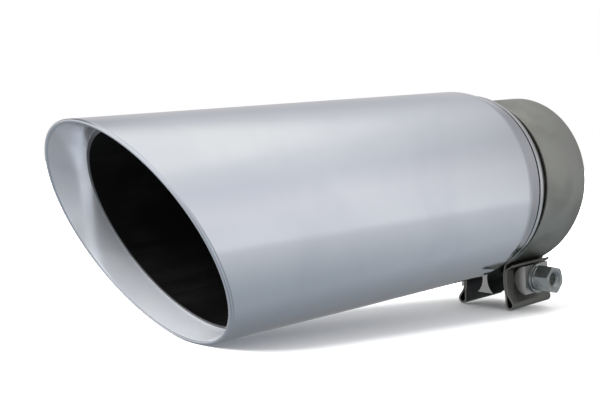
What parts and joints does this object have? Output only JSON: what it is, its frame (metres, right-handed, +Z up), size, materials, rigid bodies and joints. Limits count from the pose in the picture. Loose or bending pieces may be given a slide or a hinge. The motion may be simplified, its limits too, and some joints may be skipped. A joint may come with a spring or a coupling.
{
  "type": "exhaust tip",
  "caption": "Slash-cut polished exhaust tip with a rolled-in lip, inner sleeve and a band clamp with folded ears on its inlet collar.",
  "frame": {"origin": "centre of the collar's bore at its mouth, where the tailpipe enters", "axes": "+X out of the inlet along the tube, +Z up with the slash longest at the top, the clamp's bolt lies below along Y with its nut towards -Y"},
  "size_m": [0.3548, 0.127, 0.1529],
  "materials": {
    "polished_steel": "mirror polished stainless steel",
    "sooted_steel": "flat black",
    "pressed_steel": "bright pressed stainless steel",
    "weld": "weld metal",
    "tube_steel": "mill finish",
    "band_steel": "satin rolled strip",
    "block_steel": "satin drawn bar",
    "zinc": "bright zinc plate"
  },
  "bodies": {
    "root": {"outer_shell": "polished_steel", "inner_sleeve": "sooted_steel", "rear_cap": "pressed_steel", "weld_bead": "weld", "inlet_collar": "tube_steel", "clamp_band": "band_steel", "spacer_block": "block_steel", "head_saddle": "block_steel", "nut_saddle": "block_steel", "clamp_bolt": "zinc", "nut_washer": "zinc", "clamp_nut": "zinc"}
  },
  "joints": []
}
